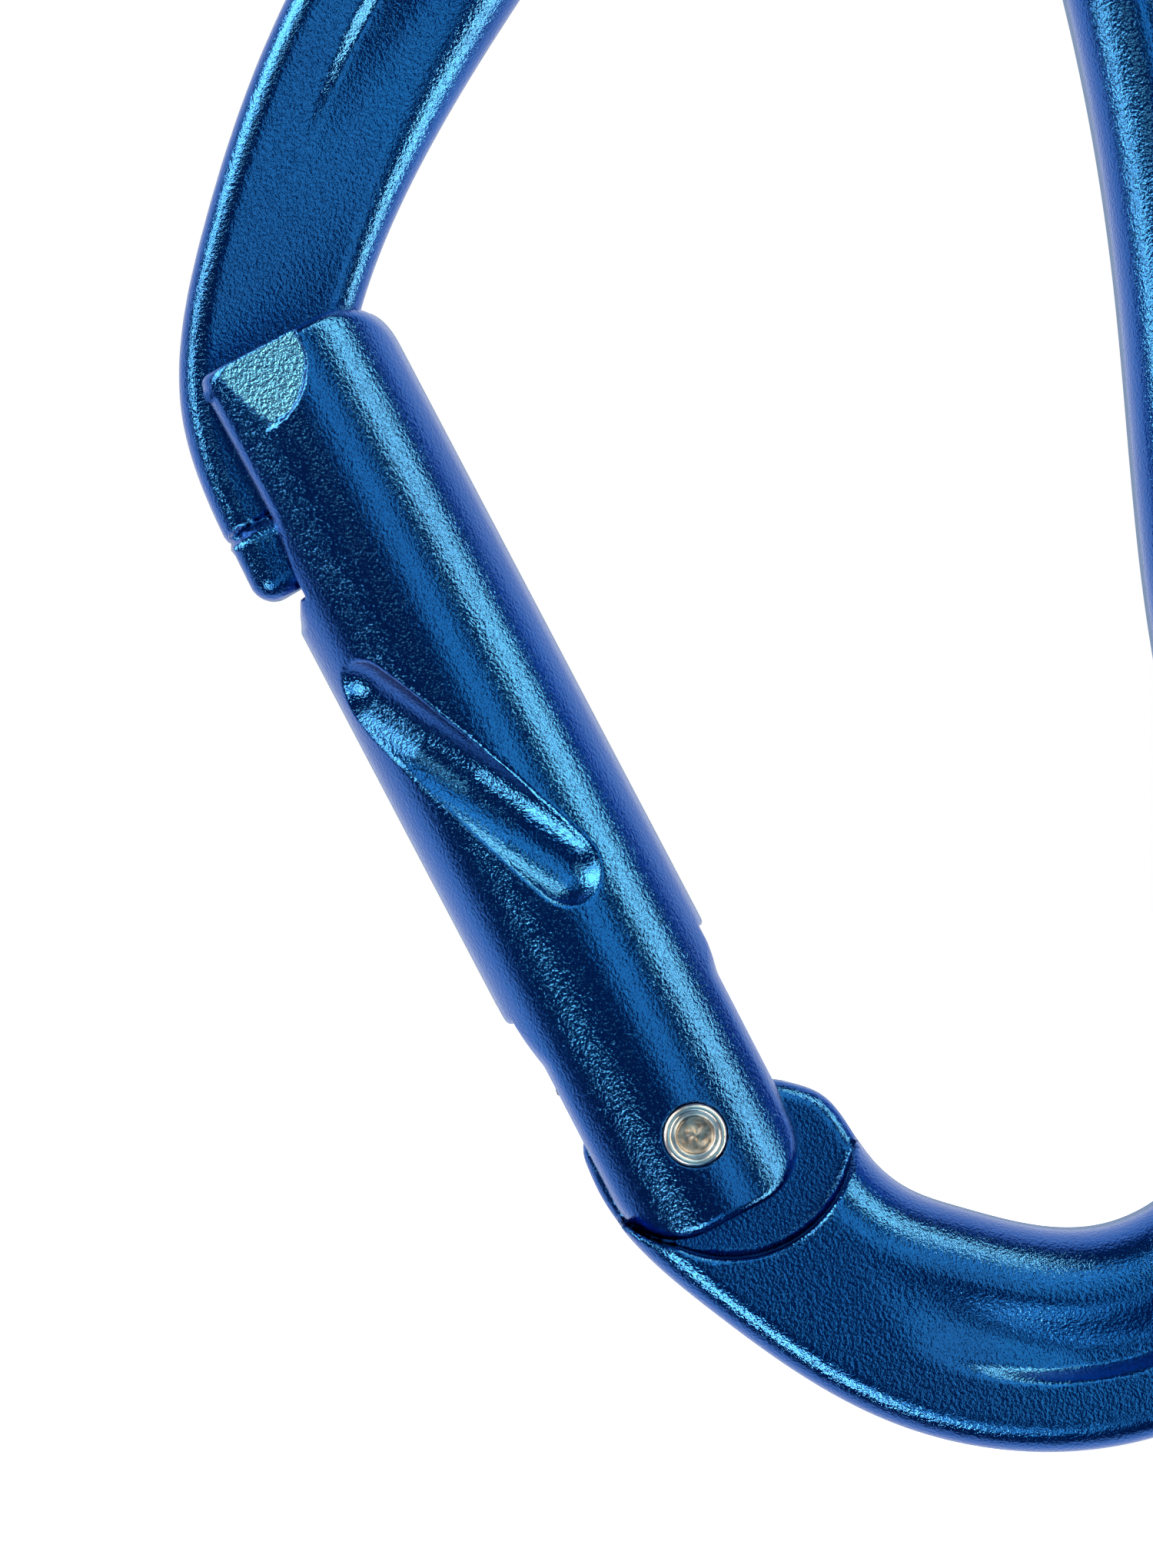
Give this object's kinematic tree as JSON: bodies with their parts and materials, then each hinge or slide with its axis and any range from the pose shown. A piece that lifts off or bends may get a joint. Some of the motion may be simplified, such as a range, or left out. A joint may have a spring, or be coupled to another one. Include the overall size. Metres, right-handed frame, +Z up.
{
  "type": "climbing carabiner",
  "caption": "Asymmetric-D forged aluminium carabiner, blue anodised, with a sprung straight solid gate and a keylock nose.",
  "frame": {"origin": "inner bearing point of the top basket, on the parting plane, where a rope or sling hangs the part", "axes": "+Z up along the spine, Y across the thickness, +X from the gate towards the spine"},
  "size_m": [0.0533, 0.0104, 0.0907],
  "materials": {
    "blue_frame": "blasted and blue anodised, satin",
    "blue_gate": "blasted and blue anodised, satin",
    "stainless_rivet": "stainless steel, formed end",
    "spring_steel": "drawn stainless wire",
    "stainless_pusher": "stamped stainless plate"
  },
  "bodies": {
    "frame": {"body": "blue_frame"},
    "gate": {"gate": "blue_gate", "hinge_rivet": "stainless_rivet", "gate_spring": "spring_steel"},
    "pusher": {"spring_pusher": "stainless_pusher"}
  },
  "joints": [
    {"name": "gate_pivot", "type": "hinge", "parent": "frame", "child": "gate", "pos_m": [-0.0154, 0, -0.0638], "axis": [0, 1, 0], "range_deg": [0, 33], "stiffness_Nm_per_rad": 0.25, "springref_deg": -51.57},
    {"name": "pusher_slide", "type": "slide", "parent": "gate", "child": "pusher", "axis": [-0.3371, 0, 0.9415], "range_m": [0, 0.0018], "deforming": ["gate_spring"]}
  ],
  "couplings": [
    {"joint": "pusher_slide", "follows": "gate_pivot", "m_per_rad": 0.003}
  ]
}
